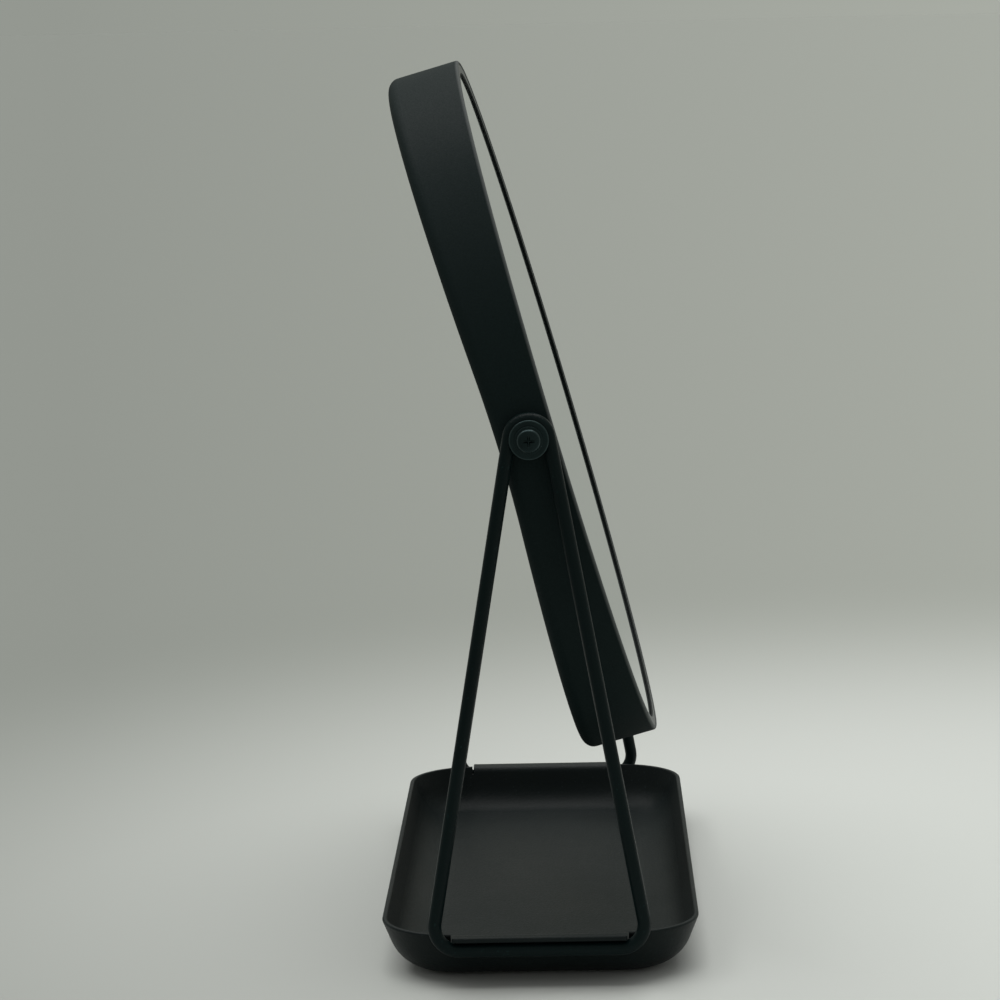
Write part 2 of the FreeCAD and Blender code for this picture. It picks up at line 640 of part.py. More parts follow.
def make_tray():
    """Pressed sheet tray with flared walls, a tab over the wire and brazed seats at each end."""
    body = new_body("tray")
    side, corner = "rim_end", "tray_width / 2"
    long_run, short_run = "(rim_end - tray_corner)", "(tray_width / 2 - tray_corner)"
    rim = new_sketch(body, "XY_Plane", "rim_height")
    outline(rim, [
        (f"-{long_run}", f"-{corner}"), (long_run, f"-{corner}", "left", "tray_corner"),
        (side, f"-{short_run}"), (side, short_run, "left", "tray_corner"),
        (long_run, corner), (f"-{long_run}", corner, "left", "tray_corner"),
        (f"-{side}", short_run), (f"-{side}", f"-{short_run}", "left", "tray_corner"),
    ])
    block = extrude(body, "Pad", rim, "tray_depth", flip=True)
    flare = body.newObject("PartDesign::Draft", "Draft")
    flare.Base = (block, [f"Face{number}" for number, face in enumerate(block.Shape.Faces, start=1)
                          if close(face.BoundBox.ZLength, size("tray_depth"))])
    flare.NeutralPlane = (block, [face_at(block, size("rim_height"))])
    flare.setExpression("Angle", cells("wall_angle"))
    doc.recompute()
    if flare.Shape.Volume > block.Shape.Volume:
        flare.Reversed = True
        doc.recompute()
    solid = dress(body, "Fillet", flare, "floor_bend", lambda edge: at_height(edge, size("pad_thickness")))
    pressed = body.newObject("PartDesign::Thickness", "Thickness")
    pressed.Base = (solid, [face_at(solid, size("rim_height"))])
    pressed.setExpression("Value", cells("tray_sheet"))
    pressed.Reversed = True
    pressed.Join = "Arc"
    doc.recompute()
    dress(body, "Fillet", pressed, "rim_round", lambda edge: at_height(edge, size("rim_height")))
    for sign in (-1, 1):
        opening = new_sketch(body, "XY_Plane", "relief_floor")
        ends = sorted((f"{sign} * (rim_end - base_inset)", f"{sign} * tab_edge"), key=size)
        half = "(tab_width / 2 + relief_width)"
        rectangle(opening, ends[0], ends[1], f"-{half}", half)
        extrude(body, "Pocket", opening, "tray_depth", flip=True)
    for sign in (-1, 1):
        for place in ("-seat_place", "seat_place"):
            seat = new_sketch(body, "XZ_Plane", place)
            seat_outline(seat, sign)
            extrude(body, "Pad", seat, "seat_length", both=True)
        bend = new_sketch(body, "XZ_Plane")
        tab_outline(bend, sign)
        extrude(body, "Pad", bend, "tab_width", both=True)
    corners = new_sketch(body, "XY_Plane", "rim_height")
    tab_corners(corners)
    extrude(body, "Pocket", corners, "all", both=True)
    return body


def make_base_pads():
    """Anti-slip pads under the tray's corners."""
    body = new_body("base_pads")
    face = new_sketch(body, "XY_Plane")
    for along in ("-pad_along", "pad_along"):
        for across in ("-pad_across", "pad_across"):
            circle(face, "pad_radius", (along, across))
    extrude(body, "Pad", face, "pad_thickness")
    return body


# ---------------------------------------------------------------- assembly
PIVOT_PIECES = {
    "threaded_insert": make_threaded_insert,
    "friction_washer": make_friction_washer,
    "pivot_sleeve": make_pivot_sleeve,
    "flat_washer": make_flat_washer,
    "lock_washer": make_lock_washer,
    "pivot_screw": make_pivot_screw,
    "wire_leg": make_wire_leg,
}

nodes = [make_tray(), make_base_pads()]
nodes += [make_head_shell(), make_bezel_ring(), make_mirror_glass(), make_foam_pads()]
for side, sign in (("left", -1), ("right", 1)):
    nodes += [make(f"{piece}_{side}", sign) for piece, make in PIVOT_PIECES.items()]
doc.recompute()

for entry in doc.Objects:
    if "Invalid" in entry.State or "Error" in entry.State:
        raise RuntimeError(f"{entry.Name} failed: {entry.State}")
os.makedirs("parts", exist_ok=True)
for node in nodes:
    if node.Shape.isNull() or not node.Shape.isValid():
        raise RuntimeError(f"{node.Label} has no valid shape")
for node in nodes:
    node.Shape.exportStep(f"parts/{node.Label}.step")
    box = node.Shape.BoundBox
    spans = ((box.XMin, box.XMax), (box.YMin, box.YMax), (box.ZMin, box.ZMax))
    print(f"{node.Label:24} {len(node.Shape.Solids):2} solids {node.Shape.Volume:10.1f} mm3",
          "  ".join(f"{axis} {low:7.2f} {high:7.2f}" for axis, (low, high) in zip("xyz", spans)))
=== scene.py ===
import json
import math

import bmesh
import bpy
from mathutils import Matrix, Vector


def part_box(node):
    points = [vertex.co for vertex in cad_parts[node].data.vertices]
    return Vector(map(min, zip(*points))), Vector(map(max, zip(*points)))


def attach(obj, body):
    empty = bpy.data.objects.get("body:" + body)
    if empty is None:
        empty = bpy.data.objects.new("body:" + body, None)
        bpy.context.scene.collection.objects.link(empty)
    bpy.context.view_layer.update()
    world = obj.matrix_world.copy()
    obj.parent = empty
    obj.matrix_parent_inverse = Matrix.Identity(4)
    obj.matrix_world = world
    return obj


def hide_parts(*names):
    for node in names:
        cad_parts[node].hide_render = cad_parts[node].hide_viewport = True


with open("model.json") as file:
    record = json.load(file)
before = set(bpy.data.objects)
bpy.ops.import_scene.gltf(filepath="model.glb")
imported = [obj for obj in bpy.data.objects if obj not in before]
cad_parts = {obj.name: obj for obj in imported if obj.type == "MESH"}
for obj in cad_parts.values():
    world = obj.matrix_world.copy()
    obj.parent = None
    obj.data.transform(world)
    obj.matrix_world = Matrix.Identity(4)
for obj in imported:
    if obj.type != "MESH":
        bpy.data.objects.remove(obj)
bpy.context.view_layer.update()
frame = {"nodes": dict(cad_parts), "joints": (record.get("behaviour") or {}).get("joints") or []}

MM = 0.001
SIDES = {"left": -1, "right": 1}

# ---------------------------------------------------------------- camera
SENSOR = 36                          # sensor width, millimetres
FOCAL = 122.57                       # lens, millimetres
EYE = Vector((-0.82937, -0.01128, 0.21861))
HEADING, DIP, ROLL = (math.radians(angle) for angle in (1.383, 8.257, -1.315))
NEAR_CLIP, FAR_CLIP = 0.05, 60


def make_camera():
    """Long lens at the -X side, looking along the pivot axis and slightly down."""
    ahead = Vector((math.cos(DIP) * math.cos(HEADING), math.cos(DIP) * math.sin(HEADING), -math.sin(DIP)))
    level = ahead.cross(Vector((0, 0, 1))).normalized()
    upright = level.cross(ahead)
    right = math.cos(ROLL) * level + math.sin(ROLL) * upright
    up = math.cos(ROLL) * upright - math.sin(ROLL) * level
    data = bpy.data.cameras.new("camera")
    data.sensor_width = SENSOR
    data.lens = FOCAL
    data.clip_start, data.clip_end = NEAR_CLIP, FAR_CLIP
    camera = bpy.data.objects.new("camera", data)
    camera.matrix_world = Matrix((right, up, -ahead)).transposed().to_4x4()
    camera.location = EYE
    bpy.context.scene.collection.objects.link(camera)
    bpy.context.scene.camera = camera


# ---------------------------------------------------------------- studio
FILL, LEVEL = 0.32, 1.003            # even fill, and the light that falls on the far floor in all
LIT_POOL_TONE = (0.69, 0.715, 0.673)     # floor around the object, painted lighter as a pool of light
FAR_LIGHT = (0.399, 0.418, 0.375)    # far background on the side of the glass; on the floor, painted lighter as light from that side
FAR_DARK = (0.2955, 0.312, 0.282)    # far background on the side of the back; on the floor, painted darker as shade on that side
FALL_OFF = math.radians(8.5)         # bearing either way at which the far background is lightest or darkest
LIGHT_POOL = Vector((0.02, -0.14, 0))      # middle of the pool of light painted on the floor
LIGHT_POOL_FADE = (0.05, 0.46)             # distances from it over which the painted pool of light fades
FLOOR_HALF = 40
FLOOR_ROUGH, FLOOR_GLOSS = 0.7, 0.05
LAMP_FROM = Vector((0.3, 0.12, 1))   # above, a little towards the right leg and behind the glass
LAMP_STRENGTH, LAMP_SPREAD = 2.1, math.radians(70)


def link_math(nodes, links, operation, first, second):
    """Arithmetic node on two values or sockets."""
    node = nodes.new("ShaderNodeMath")
    node.operation = operation
    for socket, value in zip(node.inputs, (first, second)):
        if isinstance(value, (int, float)):
            socket.default_value = value
        else:
            links.new(value, socket)
    return node.outputs[0]


def far_tone(nodes, links, direction):
    """Tone of the far background: it falls off evenly from the side of the glass to the side of the back; on
    the floor this fall-off is painted light and shade.
    """
    parts = nodes.new("ShaderNodeSeparateXYZ")
    links.new(direction, parts.inputs[0])
    bearing = link_math(nodes, links, "ARCTAN2", parts.outputs[1], parts.outputs[0])
    share = nodes.new("ShaderNodeMapRange")
    share.inputs["From Min"].default_value = -FALL_OFF
    share.inputs["From Max"].default_value = FALL_OFF
    tone = nodes.new("ShaderNodeMix")
    tone.data_type = "RGBA"
    tone.inputs["A"].default_value = (*FAR_LIGHT, 1)
    tone.inputs["B"].default_value = (*FAR_DARK, 1)
    links.new(bearing, share.inputs["Value"])
    links.new(share.outputs[0], tone.inputs["Factor"])
    return tone.outputs["Result"]


def make_world():
    """Even fill for the object; rays that show a background meet the tone of the far floor."""
    world = bpy.data.worlds.new("studio")
    world.use_nodes = True
    bpy.context.scene.world = world
    nodes, links = world.node_tree.nodes, world.node_tree.links
    nodes.clear()
    fill = nodes.new("ShaderNodeBackground")
    fill.inputs["Color"].default_value = (1, 1, 1, 1)
    fill.inputs["Strength"].default_value = FILL
    seen = nodes.new("ShaderNodeBackground")
    seen.inputs["Strength"].default_value = LEVEL
    coordinates = nodes.new("ShaderNodeTexCoord")
    links.new(far_tone(nodes, links, coordinates.outputs["Generated"]), seen.inputs["Color"])
    path = nodes.new("ShaderNodeLightPath")
    shown = link_math(nodes, links, "MAXIMUM", path.outputs["Is Camera Ray"], path.outputs["Is Glossy Ray"])
    shown = link_math(nodes, links, "MAXIMUM", shown, path.outputs["Is Transmission Ray"])
    mix = nodes.new("ShaderNodeMixShader")
    out = nodes.new("ShaderNodeOutputWorld")
    links.new(shown, mix.inputs[0])
    links.new(fill.outputs[0], mix.inputs[1])
    links.new(seen.outputs[0], mix.inputs[2])
    links.new(mix.outputs[0], out.inputs[0])


def make_floor_finish():
    """Pale floor with a pool of light painted around the object, and beyond it the tone of the far
    background, whose fall-off from side to side is painted light.
    """
    material = bpy.data.materials.new("pale_floor")
    material.use_nodes = True
    nodes, links = material.node_tree.nodes, material.node_tree.links
    shader = nodes["Principled BSDF"]
    shader.inputs["Roughness"].default_value = FLOOR_ROUGH
    shader.inputs["Specular IOR Level"].default_value = FLOOR_GLOSS
    coordinates = nodes.new("ShaderNodeTexCoord")
    from_light_pool, from_eye = nodes.new("ShaderNodeMapping"), nodes.new("ShaderNodeMapping")
    from_light_pool.inputs["Location"].default_value = -LIGHT_POOL
    from_eye.inputs["Location"].default_value = (-EYE.x, -EYE.y, 0)
    distance = nodes.new("ShaderNodeVectorMath")
    distance.operation = "LENGTH"
    fade = nodes.new("ShaderNodeMapRange")
    fade.interpolation_type = "SMOOTHERSTEP"
    fade.inputs["From Min"].default_value, fade.inputs["From Max"].default_value = LIGHT_POOL_FADE
    tone = nodes.new("ShaderNodeMix")
    tone.data_type = "RGBA"
    # painted pool of light: the floor's colour is lighter around the object
    tone.inputs["A"].default_value = (*LIT_POOL_TONE, 1)
    for place in (from_light_pool, from_eye):
        links.new(coordinates.outputs["Object"], place.inputs["Vector"])
    links.new(from_light_pool.outputs[0], distance.inputs[0])
    links.new(distance.outputs["Value"], fade.inputs["Value"])
    links.new(fade.outputs[0], tone.inputs["Factor"])
    # painted fall-off of light from side to side on the far floor
    links.new(far_tone(nodes, links, from_eye.outputs[0]), tone.inputs["B"])
    links.new(tone.outputs["Result"], shader.inputs["Base Color"])
    return material


def make_floor():
    """Plain square floor."""
    corners = [(x * FLOOR_HALF, y * FLOOR_HALF, 0) for x, y in ((-1, -1), (1, -1), (1, 1), (-1, 1))]
    mesh = bpy.data.meshes.new("floor")
    mesh.from_pydata(corners, [], [(0, 1, 2, 3)])
    mesh.materials.append(make_floor_finish())
    floor = bpy.data.objects.new("floor", mesh)
    bpy.context.scene.collection.objects.link(floor)


def make_sky_lamp():
    """Very soft light from above."""
    data = bpy.data.lights.new("sky_lamp", "SUN")
    data.energy = LAMP_STRENGTH
    data.angle = LAMP_SPREAD
    lamp = bpy.data.objects.new("sky_lamp", data)
    lamp.rotation_euler = (-LAMP_FROM).to_track_quat("-Z", "Y").to_euler()
    bpy.context.scene.collection.objects.link(lamp)


make_camera()
make_world()
make_floor()
make_sky_lamp()
bpy.context.scene.view_settings.view_transform = "Standard"


# ---------------------------------------------------------------- places
PIVOT = Vector(frame["joints"][0]["pos_m"])
LEAN = math.radians(15.5)            # the head's lean at rest
INWARD = Vector((0, math.cos(LEAN), -math.sin(LEAN)))      # from the head's front plane into its depth
GLASS_DEPTH = 1.55 * MM              # middle of the glass behind the front plane


def box_size(node):
    """Size of a CAD node along the three axes."""
    low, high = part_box(node)
    return high - low


def box_middle(node):
    """Middle of a CAD node."""
    low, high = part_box(node)
    return (low + high) / 2


def on_pivot(side):
    """Local frame on the pivot axis: Z runs outward from the middle of the head, Y is up."""
    outward = Matrix(((0, 0, 1), (1, 0, 0), (0, 1, 0))).to_4x4()
    turn = Matrix.Rotation(0 if SIDES[side] > 0 else math.pi, 4, "Z")
    return Matrix.Translation(PIVOT) @ turn @ outward


def span_on_pivot(node):
    """Inner and outer end of a pivot part, measured outward from the middle of the head."""
    low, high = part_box(node)
    return min(abs(low.x), abs(high.x)), max(abs(low.x), abs(high.x))


def on_glass():
    """Local frame in the middle of the glass: Z runs into the depth of the head, Y is down."""
    lean = Matrix.Rotation(-LEAN - math.pi / 2, 4, "X")
    return Matrix.Translation(box_middle("mirror_glass")) @ lean


# ---------------------------------------------------------------- finishes
class Finish:
    """Procedural finish: a principled shader fed by patterns in the piece's own coordinates."""

    def __init__(self, name, colour, rough, **uniform):
        self.material = bpy.data.materials.new(name)
        self.material.use_nodes = True
        self.nodes = self.material.node_tree.nodes
        self.links = self.material.node_tree.links
        self.shader = self.nodes["Principled BSDF"]
        self.shader.inputs["Base Color"].default_value = (*colour, 1)
        self.shader.inputs["Roughness"].default_value = rough
        self.colour = colour
        for socket, value in uniform.items():
            self.shader.inputs[socket.replace("_", " ")].default_value = value
        coordinates = self.nodes.new("ShaderNodeTexCoord")
        mapping = self.nodes.new("ShaderNodeMapping")
        self.links.new(coordinates.outputs["Object"], mapping.inputs["Vector"])
        self.place = mapping.outputs[0]

    def math(self, operation, first, second):
        """Arithmetic on two values or sockets."""
        return link_math(self.nodes, self.links, operation, first, second)

    def noise(self, size, detail=2.0, rough=0.5):
        """Soft noise with features of a size in metres."""
        node = self.nodes.new("ShaderNodeTexNoise")
        node.inputs["Scale"].default_value = 1 / size
        node.inputs["Detail"].default_value = detail
        node.inputs["Roughness"].default_value = rough
        self.links.new(self.place, node.inputs["Vector"])
        return node.outputs[0]

    def cells(self, size):
        """Distance to the nearest of scattered points, spaced by a size in metres."""
        node = self.nodes.new("ShaderNodeTexVoronoi")
        node.inputs["Scale"].default_value = 1 / size
        self.links.new(self.place, node.inputs["Vector"])
        return node.outputs["Distance"]

    def ramp(self, value, low, high, to_low=0.0, to_high=1.0):
        """Value from low..high brought to to_low..to_high, and held there beyond."""
        node = self.nodes.new("ShaderNodeMapRange")
        for socket, number in zip(("From Min", "From Max", "To Min", "To Max"), (low, high, to_low, to_high)):
            node.inputs[socket].default_value = number
        self.links.new(value, node.inputs["Value"])
        return node.outputs[0]

    def depth(self, start, end):
        """Share that rises from 0 to 1 between two depths behind the head's front plane, in metres."""
        node = self.nodes.new("ShaderNodeVectorMath")
        node.operation = "DOT_PRODUCT"
        node.inputs[1].default_value = INWARD
        self.links.new(self.place, node.inputs[0])
        front = box_middle("mirror_glass").dot(INWARD) - GLASS_DEPTH
        return self.ramp(node.outputs["Value"], front + start, front + end)

    def reach(self, start, end):
        """Share that rises from 0 to 1 between two distances from the pivot line, in metres."""
        across = self.place
        for operation, vector in (("SUBTRACT", PIVOT), ("MULTIPLY", (0, 1, 1))):
            node = self.nodes.new("ShaderNodeVectorMath")
            node.operation = operation
            node.inputs[1].default_value = vector
            self.links.new(across, node.inputs[0])
            across = node.outputs[0]
        length = self.nodes.new("ShaderNodeVectorMath")
        length.operation = "LENGTH"
        self.links.new(across, length.inputs[0])
        return self.ramp(length.outputs["Value"], start, end)

    def tint(self, factor, colour):
        """Blend the colour so far towards another one."""
        node = self.nodes.new("ShaderNodeMix")
        node.data_type = "RGBA"
        base = self.shader.inputs["Base Color"]
        if base.is_linked:
            self.links.new(base.links[0].from_socket, node.inputs["A"])
        else:
            node.inputs["A"].default_value = (*self.colour, 1)
        node.inputs["B"].default_value = (*colour, 1)
        self.links.new(factor, node.inputs["Factor"])
        self.links.new(node.outputs["Result"], base)

    def shade(self, pattern, low, high, most, scale):
        """Blend up to a share towards the own colour times a scale, as a pattern goes from low to high."""
        self.tint(self.ramp(pattern, low, high, 0, most), tuple(scale * part for part in self.colour))

    def sheen_of(self, value):
        """Roughness from a socket."""
        self.links.new(value, self.shader.inputs["Roughness"])

    def relief(self, value, depth):
        """Fine relief, depth in metres."""
        node = self.nodes.new("ShaderNodeBump")
        node.inputs["Distance"].default_value = depth
        self.links.new(value, node.inputs["Height"])
        if self.shader.inputs["Normal"].is_linked:
            self.links.new(self.shader.inputs["Normal"].links[0].from_socket, node.inputs["Normal"])
        self.links.new(node.outputs[0], self.shader.inputs["Normal"])


COAT_CLOUD, SPECK, PIMPLE_RELIEF, COAT_RELIEF = 35 * MM, 0.7 * MM, 0.04 * MM, 0.03 * MM
MOULD_CLOUD, MOULD_GRAIN, MOULD_RELIEF, SMOOTH_RELIEF = 50 * MM, 0.4 * MM, 0.035 * MM, 0.004 * MM
METAL_CLOUD, METAL_MARK, METAL_RELIEF = 4 * MM, 0.8 * MM, 0.008 * MM


def dark_coat(name, colour, rough, gloss, grain, pimple):
    """Matt black powder coat: cloudy tone, fine grain, soft pimples and a few pale specks."""
    finish = Finish(name, colour, rough, Specular_IOR_Level=gloss)
    cloud = finish.noise(COAT_CLOUD, 3)
    fine = finish.noise(grain, 3, 0.6)
    pimples = finish.cells(pimple)
    finish.shade(cloud, 0.3, 0.7, 0.5, 1.5)
    finish.shade(fine, 0.35, 0.75, 0.5, 0.55)
    finish.shade(finish.noise(SPECK, 1), 0.7, 0.78, 0.5, 4)
    patches = finish.ramp(cloud, 0.3, 0.7, rough - 0.04, rough + 0.04)
    finish.sheen_of(finish.math("ADD", finish.ramp(fine, 0.3, 0.7, -0.06, 0.06), patches))
    finish.relief(pimples, PIMPLE_RELIEF)
    finish.relief(fine, COAT_RELIEF)
    return finish


def moulded(name, colour, rough, gloss, relief=MOULD_RELIEF):
    """Moulded dark plastic with a fine spark-eroded grain."""
    finish = Finish(name, colour, rough, Specular_IOR_Level=gloss)
    cloud = finish.noise(MOULD_CLOUD, 2)
    grain = finish.noise(MOULD_GRAIN, 4, 0.65)
    finish.shade(cloud, 0.3, 0.7, 0.4, 1.4)
    finish.shade(grain, 0.35, 0.7, 0.45, 0.6)
    patches = finish.ramp(cloud, 0.3, 0.7, rough - 0.03, rough + 0.05)
    finish.sheen_of(finish.math("ADD", finish.ramp(grain, 0.3, 0.7, -0.07, 0.07), patches))
    finish.relief(grain, relief)
    return finish


def metal(name, colour, rough, metallic=1.0, **uniform):
    """Turned or pressed metal with fine marks."""
    finish = Finish(name, colour, rough, Metallic=metallic, **uniform)
    marks = finish.noise(METAL_MARK, 4, 0.7)
    cloud = finish.noise(METAL_CLOUD, 2)
    finish.shade(cloud, 0.35, 0.65, 0.5, 0.6)
    finish.sheen_of(finish.ramp(marks, 0.3, 0.7, rough - 0.08, rough + 0.1))
    finish.relief(marks, METAL_RELIEF)
    return finish


LIP_HIGHLIGHT_TONE = (0.12, 0.13, 0.127)         # paler plastic painted along the front lip as a highlight
LIP_HIGHLIGHT_DEPTHS = (0.8 * MM, 0.1 * MM)      # depths behind the front plane at which the painted lip highlight starts and is full
RING_FACE, RING_WALL = 0.22 * MM, 0.3 * MM       # depths at which the ring's face ends and its wall starts
# paler tone on the ring's face is a painted reflection; the wall is made duller by roughness
RING_FACE_REFLECTION_TONE, WALL_DULLNESS = (0.045, 0.05, 0.049), 0.3
RIM_HIGHLIGHT_INSETS = (0.35 * MM, 0.1 * MM)     # distances in from a fastener's rim at which the painted highlight starts and is full
# paler tone painted along the fastener rims as a highlight
RIM_HIGHLIGHT_TONE = (0.035, 0.056, 0.058)


def make_shell_plastic():
    """Charcoal plastic with a highlight painted paler along the front lip."""
    finish = moulded("shell_plastic", (0.0065, 0.0135, 0.0135), 0.66, 0.09)
    # painted highlight: the front lip is tinted paler
    finish.tint(finish.depth(*LIP_HIGHLIGHT_DEPTHS), LIP_HIGHLIGHT_TONE)
    return finish.material


def make_ring_plastic():
    """Charcoal plastic: smooth on the face, with a paler tone there that paints in its reflection, and dull
    on the wall down to the glass.
    """
    finish = moulded("ring_plastic", (0.003, 0.0065, 0.0065), 0.36, 0.15, SMOOTH_RELIEF)
    # painted reflection: the ring's face is tinted paler
    finish.tint(finish.depth(RING_WALL, RING_FACE), RING_FACE_REFLECTION_TONE)
    smooth = finish.shader.inputs["Roughness"].links[0].from_socket
    dull = finish.math("MULTIPLY", finish.depth(RING_FACE, RING_WALL), WALL_DULLNESS)
    finish.sheen_of(finish.math("ADD", smooth, dull))
    return finish.material


def make_fastener_black(name, node):
    """Black oxide steel with a highlight painted paler along a fastener's round rim."""
    finish = metal(name, (0.012, 0.023, 0.024), 0.32, metallic=0.7, Specular_IOR_Level=0.25)
    rim = box_size(node).y / 2
    # painted highlight along the round rim
    finish.tint(finish.reach(*(rim - inset for inset in RIM_HIGHLIGHT_INSETS)), RIM_HIGHLIGHT_TONE)
    return finish.material


EDGE_ON = (0.84, 0.85, 0.85, 1)      # share that the mirror sends back when seen almost edge-on


def make_mirror_face():
    """Silvered glass seen through its front: slightly green, a little dimmer edge-on, with faint smudges."""
    finish = Finish("silvered_glass", (0.86, 0.905, 0.885), 0.01, Metallic=1.0, Specular_Tint=EDGE_ON)
    smudge = finish.noise(30 * MM, 4)
    finish.sheen_of(finish.ramp(smudge, 0.5, 0.8, 0.0, 0.03))
    finish.tint(finish.ramp(finish.noise(120 * MM, 1), 0.3, 0.7, 0, 1), (0.84, 0.89, 0.87))
    return finish.material


def make_ground_glass():
    """Pale green ground edge of the glass."""
    finish = Finish("ground_glass", (0.30, 0.42, 0.36), 0.35, Specular_IOR_Level=0.5)
    grind = finish.noise(0.3 * MM, 3)
    finish.tint(finish.ramp(grind, 0.3, 0.7, 0, 0.6), (0.55, 0.65, 0.6))
    finish.relief(grind, 0.02 * MM)
    return finish.material


def make_foam_finish():
    """Open-celled white foam."""
    finish = Finish("foam", (0.75, 0.75, 0.72), 0.9, Specular_IOR_Level=0.1)
    pores = finish.cells(0.4 * MM)
    finish.tint(finish.ramp(pores, 0.2, 0.6, 0, 0.8), (0.5, 0.5, 0.48))
    finish.relief(pores, 0.15 * MM)
    return finish.material


TRAY_COAT = dark_coat("tray_powder_coat", (0.0085, 0.0125, 0.0125), 0.42, 0.09, 0.3 * MM, 0.6 * MM).material
LEG_COAT = dark_coat("leg_powder_coat", (0.0028, 0.0085, 0.0088), 0.34, 0.1, 0.25 * MM, 0.5 * MM).material
SHELL_PLASTIC = make_shell_plastic()
RING_PLASTIC = make_ring_plastic()
SCREW_BLACK = make_fastener_black("black_screw", "pivot_screw_left")
WASHER_BLACK = make_fastener_black("black_washer", "flat_washer_left")
SLEEVE_STEEL = metal("phosphated_steel", (0.06, 0.06, 0.062), 0.5, metallic=0.8).material
BRASS = metal("brass", (0.62, 0.42, 0.16), 0.25).material
NYLON = moulded("black_nylon", (0.012, 0.012, 0.012), 0.45, 0.3).material
RUBBER = moulded("pad_rubber", (0.012, 0.012, 0.0125), 0.75, 0.15).material
BACK_PAINT = moulded("mirror_back_paint", (0.03, 0.032, 0.034), 0.5, 0.3).material
MIRROR_FACE = make_mirror_face()
GROUND_GLASS = make_ground_glass()
FOAM = make_foam_finish()

FINISH_OF = {
    "tray": TRAY_COAT, "base_pads": RUBBER, "head_shell": SHELL_PLASTIC, "bezel_ring": RING_PLASTIC,
    "mirror_glass": MIRROR_FACE, "foam_pads": FOAM,
}
for side in SIDES:
    FINISH_OF[f"wire_leg_{side}"] = LEG_COAT
    FINISH_OF[f"pivot_sleeve_{side}"] = SLEEVE_STEEL
    FINISH_OF[f"flat_washer_{side}"] = WASHER_BLACK
    FINISH_OF[f"lock_washer_{side}"] = WASHER_BLACK
    FINISH_OF[f"pivot_screw_{side}"] = SCREW_BLACK
    FINISH_OF[f"friction_washer_{side}"] = NYLON
    FINISH_OF[f"threaded_insert_{side}"] = BRASS
for name, material in FINISH_OF.items():
    node = frame["nodes"][name]
    node.data.materials.clear()
    node.data.materials.append(material)


# ---------------------------------------------------------------- shapes
def finished(mesh, place, materials, body, node, angle=35):
    """Put a mesh in place as the piece that stands for a CAD node, or as an extra piece if node is None."""
    mesh.transform(place)
    for material in materials:
        mesh.materials.append(material)
    mesh.shade_smooth()
    mesh.set_sharp_from_angle(angle=math.radians(angle))
    piece = bpy.data.objects.new(mesh.name, mesh)
    bpy.context.scene.collection.objects.link(piece)
    if node:
        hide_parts(node)
    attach(piece, body)
    return piece


def skin(name, rows, loop_rows=False, loop_round=True):
    """Mesh over rows of points; a row of one point is a pole, and an open grid's ends are capped."""
    mesh = bpy.data.meshes.new(name)
    points, index = [], []
    for row in rows:
        index.append(range(len(points), len(points) + len(row)))
        points += row
    pairs = list(zip(index, index[1:])) + ([(index[-1], index[0])] if loop_rows else [])
    faces = []
    for here, after in pairs:
        count = max(len(here), len(after))
        for k in range(count if loop_round else count - 1):
            corners = [here[k % len(here)], here[(k + 1) % len(here)],
                       after[(k + 1) % len(after)], after[k % len(after)]]
            faces.append(list(dict.fromkeys(corners)))
    if not loop_rows:
        faces += [list(end) for end in (index[0], index[-1]) if len(end) > 2]
    mesh.from_pydata(points, [], faces)
    work = bmesh.new()
    work.from_mesh(mesh)
    bmesh.ops.recalc_face_normals(work, faces=work.faces)
    work.to_mesh(mesh)
    work.free()
    return mesh


def turned(name, outline, steps=96, ring=False, wave=None):
    """Solid turned about Z from (radius, height) pairs; a ring's outline closes on itself.

    wave(angle, radius, height) is added to the radii, for threads and knurls.
    """
    rows = []
    for radius, height in outline:
        if radius == 0:
            rows.append([(0, 0, height)])
            continue
        row = []
        for step in range(steps):
            angle = 2 * math.pi * step / steps
            reach = radius + (wave(angle, radius, height) if wave else 0)
            row.append((reach * math.cos(angle), reach * math.sin(angle), height))
        rows.append(row)
    return skin(name, rows, loop_rows=ring)


def bend(middle, radius, start, end, steps=6):
    """Arc of an outline from one angle to another, in degrees."""
    angles = [math.radians(start + (end - start) * step / steps) for step in range(steps + 1)]
    return [(middle[0] + radius * math.cos(a), middle[1] + radius * math.sin(a)) for a in angles]


def joined(name, *meshes):
    """One mesh from several."""
    work = bmesh.new()
    for mesh in meshes:
        work.from_mesh(mesh)
    whole = bpy.data.meshes.new(name)
    work.to_mesh(whole)
    work.free()
    return whole


def applied(name, item):
    """Plain mesh of an object with its modifiers, and the object removed."""
    bpy.context.view_layer.update()
    evaluated = item.evaluated_get(bpy.context.evaluated_depsgraph_get())
    whole = bpy.data.meshes.new_from_object(evaluated)
    whole.name = name
    whole.materials.clear()
    bpy.data.objects.remove(item)
    return whole


def carved(name, mesh, cutter):
    """Mesh less a cutter."""
    body, tool = bpy.data.objects.new(name, mesh), bpy.data.objects.new("cutter", cutter)
    for item in (body, tool):
        bpy.context.scene.collection.objects.link(item)
    cut = body.modifiers.new("recess", "BOOLEAN")
    cut.operation, cut.solver, cut.object = "DIFFERENCE", "EXACT", tool
    whole = applied(name, body)
    bpy.data.objects.remove(tool)
    return whole


